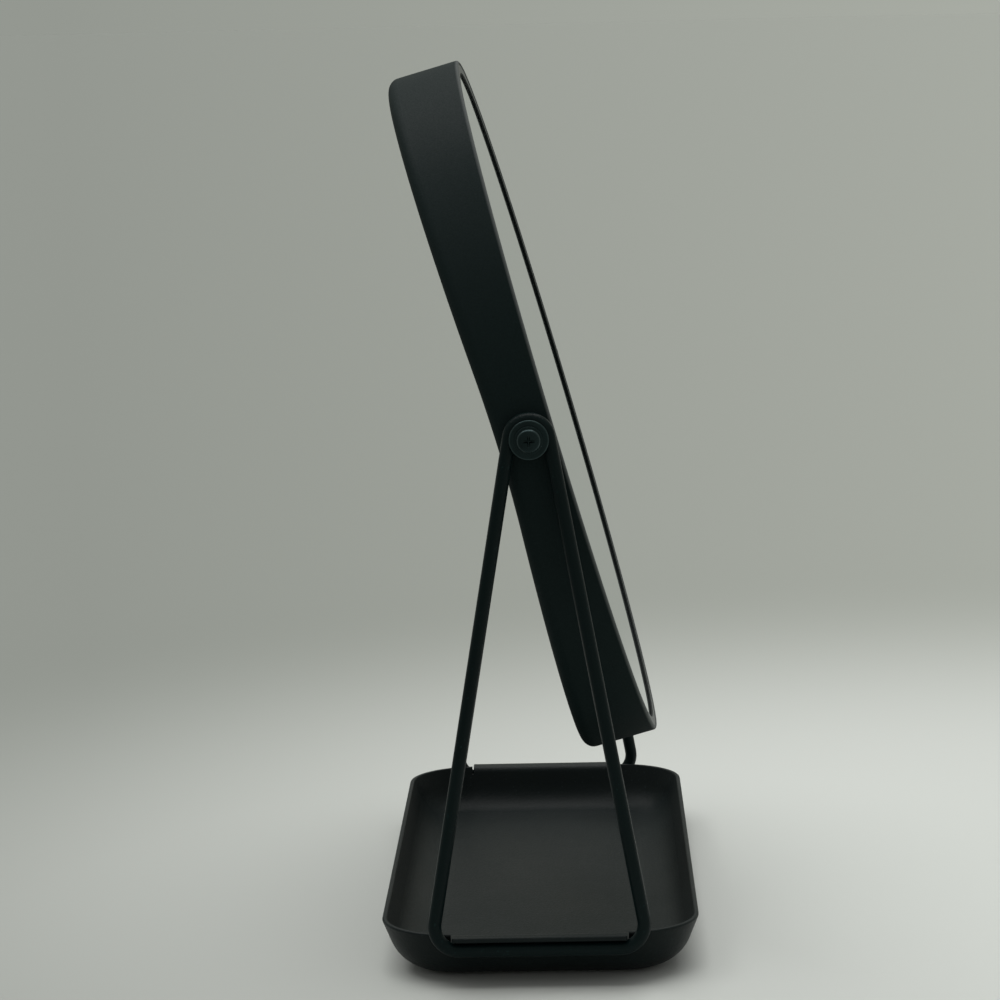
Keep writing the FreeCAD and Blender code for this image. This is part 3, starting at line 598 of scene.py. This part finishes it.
# ---------------------------------------------------------------- pivot hardware
THREAD_PITCH, THREAD_DEPTH, FLANK_SLOPE = 0.5 * MM, 0.3 * MM, 1.25
SHANK_RADIUS, SHANK_TIP, SHANK_CHAMFER, SHANK_ROOT = 1.48 * MM, 0.9 * MM, 0.3 * MM, 0.4 * MM
HEAD_CHAMFER, HEAD_ROUND, DOME_DROP, DOME_START, CROWN_STEPS = 0.12 * MM, 0.7 * MM, 0.22 * MM, 75, 6
RECESS_SPAN, RECESS_WIDTH, RECESS_DEPTH, RECESS_TAPER = 2.7 * MM, 0.6 * MM, 0.75 * MM, 0.4
CUTTER_RISE = 0.2 * MM               # how far the recess cutter stands over the head


def screw_thread(start, end):
    """Helical thread from its chamfered point up into the head."""
    def flank(angle, radius, height):
        turn = (height / THREAD_PITCH - angle / (2 * math.pi)) % 1
        return -THREAD_DEPTH * min(1, abs(2 * turn - 1) * FLANK_SLOPE) if radius > SHANK_TIP else 0
    rows = int((end - start) / THREAD_PITCH * 8)
    first = start + SHANK_CHAMFER
    outline = [(0, start), (SHANK_TIP, start)]
    outline += [(SHANK_RADIUS, first + (end - first) * k / rows) for k in range(rows + 1)]
    return turned("thread", outline + [(0, end)], steps=24, wave=flank)


def cross_cutter(top):
    """Tapered cross that cuts the screw's recess."""
    reach, half = RECESS_SPAN / 2, RECESS_WIDTH / 2
    quarter = [(reach, -half), (reach, half), (half, half)]
    corners = [Matrix.Rotation(math.pi / 2 * k, 2) @ Vector(corner) for k in range(4) for corner in quarter]
    rows = []
    for scale, height in ((1, top + CUTTER_RISE), (1, top - DOME_DROP), (RECESS_TAPER, top - RECESS_DEPTH)):
        rows.append([(scale * c.x, scale * c.y, height) for c in corners])
    return skin("cross", rows)


def make_pivot_screw(side):
    """Domed pan head with a tapered cross recess, on a threaded shank."""
    node = f"pivot_screw_{side}"
    start, top = span_on_pivot(node)
    seat = span_on_pivot(f"lock_washer_{side}")[1]
    radius = box_size(node).y / 2
    edge = top - DOME_DROP - HEAD_ROUND
    dome = bend((radius - HEAD_ROUND, edge), HEAD_ROUND, 0, DOME_START)
    rim, height = dome[-1]
    left = [1 - k / CROWN_STEPS for k in range(1, CROWN_STEPS)]
    crown = [(rim * share, top - (top - height) * share ** 2) for share in left] + [(0, top)]
    outline = [(0, seat), (radius - HEAD_CHAMFER, seat), (radius, seat + HEAD_CHAMFER)] + dome + crown
    head = carved("head", turned("head", outline), cross_cutter(top))
    mesh = joined(f"pan_head_screw_{side}", head, screw_thread(start, seat + SHANK_ROOT))
    finished(mesh, on_pivot(side), [SCREW_BLACK], "head", node, 30)


WASHER_BORE, WASHER_RISE, WASHER_EDGE = 1.58 * MM, 0.12 * MM, 0.1 * MM
WASHER_SLIT = math.radians(9.5)


def make_split_washer(side):
    """Spring washer of square wire: one turn of a shallow helix, cut at the bottom."""
    node = f"lock_washer_{side}"
    start, end = span_on_pivot(node)
    outer = box_size(node).y / 2
    thick, edge = end - start - WASHER_RISE, WASHER_EDGE
    low, high, near, far = edge, thick - edge, WASHER_BORE + edge, outer - edge
    section = []
    for corner, first in (((near, low), 180), ((far, low), 270), ((far, high), 0), ((near, high), 90)):
        section += bend(corner, edge, first, first + 90, 3)
    rows = []
    steps = 90
    for step in range(steps + 1):
        share = step / steps
        angle = -math.pi / 2 + WASHER_SLIT / 2 + share * (2 * math.pi - WASHER_SLIT)
        lift = start + WASHER_RISE * share
        rows.append([(r * math.cos(angle), r * math.sin(angle), lift + height) for r, height in section])
    mesh = skin(f"split_washer_{side}", rows)
    finished(mesh, on_pivot(side), [WASHER_BLACK], "head", node)


KNURL_TEETH, KNURL_DEPTH, KNURL_SLANT = 26, 0.16 * MM, 7 / MM
INSERT_BORE, INSERT_GROOVE, GROOVE_WIDTH = 1.5 * MM, 0.3 * MM, 1.2 * MM
INSERT_EDGE, MOUTH_EDGE, LEAD_IN, INSERT_THREAD = 0.3 * MM, 0.15 * MM, 0.1 * MM, 0.12 * MM


def make_threaded_insert(side):
    """Brass insert with two bands of slanted knurling that slant opposite ways, and a threaded bore."""
    node = f"threaded_insert_{side}"
    start, end = span_on_pivot(node)
    outer, middle = box_size(node).y / 2, (start + end) / 2

    def tooth(angle, radius, height):
        if radius < outer:
            turn = (height / THREAD_PITCH - angle / (2 * math.pi)) % 1
            return INSERT_THREAD * abs(2 * turn - 1) if radius == INSERT_BORE else 0
        slant = (height - middle) * (KNURL_SLANT if height > middle else -KNURL_SLANT)
        wave = (KNURL_TEETH * angle + slant) / (2 * math.pi) % 1
        return -KNURL_DEPTH * abs(2 * wave - 1)

    half = GROOVE_WIDTH / 2
    bands = []
    for low, high in ((start + INSERT_EDGE, middle - half), (middle + half, end - INSERT_EDGE)):
        bands.append([(outer, low + (high - low) * k / 8) for k in range(9)])
    groove = [(outer - INSERT_GROOVE, middle - half), (outer - INSERT_GROOVE, middle + half)]
    mouth = [(outer - INSERT_EDGE, end), (INSERT_BORE + MOUTH_EDGE, end)]
    rows = int((end - start) / THREAD_PITCH * 6)
    first, length = end - LEAD_IN, end - start - 2 * LEAD_IN
    thread = [(INSERT_BORE, first - length * k / rows) for k in range(rows + 1)]
    foot = [(INSERT_BORE + MOUTH_EDGE, start), (outer - INSERT_EDGE, start)]
    outline = bands[0] + groove + bands[1] + mouth + thread + foot
    mesh = turned(f"knurled_insert_{side}", outline, KNURL_TEETH * 6, ring=True, wave=tooth)
    finished(mesh, on_pivot(side), [BRASS], "head", node)


# ---------------------------------------------------------------- glass
GLASS_EDGE, GLASS_STEPS = 0.3 * MM, 320


def make_glass():
    """Silvered glass with a clear front, a ground edge and a painted back; returns half its thickness."""
    size = box_size("mirror_glass")
    radius = size.x / 2
    half = (size.y - 2 * radius * math.sin(LEAN)) / math.cos(LEAN) / 2
    inside = radius - GLASS_EDGE
    outline = [(0, -half), (inside, -half), (radius, GLASS_EDGE - half), (radius, half - GLASS_EDGE / 3),
               (radius - GLASS_EDGE / 3, half), (0, half)]
    mesh = turned("silvered_glass", outline, GLASS_STEPS)
    for face in mesh.polygons:
        if face.center.xy.length < inside * 0.9:
            face.material_index = 0 if face.center.z < 0 else 2
        else:
            face.material_index = 1
    finished(mesh, on_glass(), [MIRROR_FACE, GROUND_GLASS, BACK_PAINT], "head", "mirror_glass", 25)
    return half


# ---------------------------------------------------------------- pads, repeated with geometry nodes
def pad_tree(name, places, settings):
    """Geometry-nodes tree that sets a pad on every point it lays out.

    places(nodes, links, given) returns the points and the turn of the pads on them; settings names
    the tree's own inputs.
    """
    tree = bpy.data.node_groups.new(name, "GeometryNodeTree")
    face = tree.interface
    face.new_socket("Pad", in_out="INPUT", socket_type="NodeSocketObject")
    face.new_socket("Finish", in_out="INPUT", socket_type="NodeSocketMaterial")
    for title, value in settings.items():
        kind = "NodeSocketInt" if isinstance(value, int) else "NodeSocketFloat"
        face.new_socket(title, in_out="INPUT", socket_type=kind)
    face.new_socket("Geometry", in_out="OUTPUT", socket_type="NodeSocketGeometry")
    nodes, links = tree.nodes, tree.links
    given, out = nodes.new("NodeGroupInput"), nodes.new("NodeGroupOutput")
    points, turn = places(nodes, links, given.outputs)
    info = nodes.new("GeometryNodeObjectInfo")
    copies = nodes.new("GeometryNodeInstanceOnPoints")
    real = nodes.new("GeometryNodeRealizeInstances")
    coat = nodes.new("GeometryNodeSetMaterial")
    links.new(given.outputs["Pad"], info.inputs["Object"])
    links.new(points, copies.inputs["Points"])
    links.new(info.outputs["Geometry"], copies.inputs["Instance"])
    if turn:
        links.new(turn, copies.inputs["Rotation"])
    links.new(copies.outputs[0], real.inputs[0])
    links.new(real.outputs[0], coat.inputs["Geometry"])
    links.new(given.outputs["Finish"], coat.inputs["Material"])
    links.new(coat.outputs[0], out.inputs["Geometry"])
    return tree


def repeat(name, pad, finish, places, settings):
    """Plain mesh of a pad set on every point that a geometry-nodes tree lays out."""
    one = bpy.data.objects.new("pad", pad)
    carrier = bpy.data.objects.new(name, bpy.data.meshes.new("points"))
    for item in (one, carrier):
        bpy.context.scene.collection.objects.link(item)
    layout = carrier.modifiers.new(name, "NODES")
    layout.node_group = pad_tree(name, places, settings)
    values = {"Pad": one, "Finish": finish, **settings}
    for item in layout.node_group.interface.items_tree:
        if item.in_out == "INPUT":
            layout[item.identifier] = values[item.name]
    mesh = applied(name, carrier)
    bpy.data.objects.remove(one)
    return mesh


def ring_places(nodes, links, given):
    """Points around a circle, with the pads turned along its radius."""
    circle = nodes.new("GeometryNodeMeshCircle")
    links.new(given["Count"], circle.inputs["Vertices"])
    links.new(given["Radius"], circle.inputs["Radius"])
    spot = nodes.new("GeometryNodeInputPosition")
    turn = nodes.new("FunctionNodeAlignRotationToVector")
    turn.axis = "X"
    links.new(spot.outputs[0], turn.inputs["Vector"])
    return circle.outputs[0], turn.outputs[0]


def corner_places(nodes, links, given):
    """The four corners of a rectangle."""
    grid = nodes.new("GeometryNodeMeshGrid")
    grid.inputs["Vertices X"].default_value = 2
    grid.inputs["Vertices Y"].default_value = 2
    links.new(given["Length"], grid.inputs["Size X"])
    links.new(given["Width"], grid.inputs["Size Y"])
    return grid.outputs[0], None


def rounded_plan(length, width, corner, inset, height):
    """Rectangle with round corners around the origin, drawn in by an inset."""
    x, y, radius = length / 2 - corner, width / 2 - corner, corner - inset
    row = []
    for middle, first in (((x, y), 0), ((-x, y), 90), ((-x, -y), 180), ((x, -y), 270)):
        row += [(px, py, height) for px, py in bend(middle, radius, first, first + 90, 5)]
    return row


FOAM_LENGTH, FOAM_WIDTH, FOAM_THICKNESS = 14 * MM, 9 * MM, 0.8 * MM
FOAM_CORNER, FOAM_COUNT, FOAM_RING = 1.2 * MM, 8, 58 * MM
# share of the thickness, and how far the side is drawn in there, in millimetres
FOAM_SWELL = ((0, 0.25), (0.12, 0.08), (0.35, 0), (0.65, 0), (0.88, 0.08), (1, 0.25))


def make_foam(glass_half):
    """Eight foam pads on the back of the glass, pressed in so that their sides swell a little."""
    rows = [rounded_plan(FOAM_LENGTH, FOAM_WIDTH, FOAM_CORNER, inset * MM, share * FOAM_THICKNESS)
            for share, inset in FOAM_SWELL]
    spans = {"Count": FOAM_COUNT, "Radius": FOAM_RING}
    mesh = repeat("foam_cushions", skin("pad", rows), FOAM, ring_places, spans)
    place = on_glass() @ Matrix.Translation((0, 0, glass_half))
    piece = finished(mesh, place, [FOAM], "head", "foam_pads")


FOOT_RADIUS, FOOT_ROUND = 5 * MM, 0.18 * MM
FOOT_GROOVES, GROOVE_FLOOR, GROOVE_SIDE, GROOVE_DEPTH = (1.4 * MM, 3.2 * MM), 0.3 * MM, 0.1 * MM, 0.06 * MM


def make_rubber_feet():
    """Four thin rubber feet, each with a round edge and two moulded grooves underneath."""
    size, middle = box_size("base_pads"), box_middle("base_pads")
    outline = [(0, 0)]
    for inner in FOOT_GROOVES:
        outer = inner + 2 * GROOVE_SIDE + GROOVE_FLOOR
        outline += [(inner, 0), (inner + GROOVE_SIDE, GROOVE_DEPTH)]
        outline += [(outer - GROOVE_SIDE, GROOVE_DEPTH), (outer, 0)]
    outline += bend((FOOT_RADIUS - FOOT_ROUND, FOOT_ROUND), FOOT_ROUND, 270, 360, 4)
    outline += [(FOOT_RADIUS, size.z), (0, size.z)]
    spans = {"Length": size.x - 2 * FOOT_RADIUS, "Width": size.y - 2 * FOOT_RADIUS}
    mesh = repeat("rubber_feet", turned("foot", outline, 64), RUBBER, corner_places, spans)
    place = Matrix.Translation((middle.x, middle.y, middle.z - size.z / 2))
    finished(mesh, place, [RUBBER], "root", "base_pads")


WELD_HALF, WELD_PROUD, WELD_SUNK, WELD_STEPS = 0.9 * MM, 0.03 * MM, 0.02 * MM, 5


def make_butt_weld(side):
    """Ground weld that closes the wire where its two ends meet under the tab."""
    wire = f"wire_leg_{side}"
    radius = box_size(wire).x / 2
    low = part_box(wire)[0]
    crown = []
    for k in range(-WELD_STEPS, WELD_STEPS + 1):
        swell = (WELD_PROUD + WELD_SUNK) * math.cos(math.pi / 2 * k / WELD_STEPS)
        crown.append((radius - WELD_SUNK + swell, WELD_HALF * k / WELD_STEPS))
    mesh = turned(f"butt_weld_{side}", [(0, -WELD_HALF)] + crown + [(0, WELD_HALF)], 48)
    place = Matrix.Translation((box_middle(wire).x, 0, low.z + radius)) @ Matrix.Rotation(math.pi / 2, 4, "X")
    finished(mesh, place, [LEG_COAT], "root", None, 60)


make_foam(make_glass())
make_rubber_feet()
for side in SIDES:
    make_pivot_screw(side)
    make_split_washer(side)
    make_threaded_insert(side)
    make_butt_weld(side)
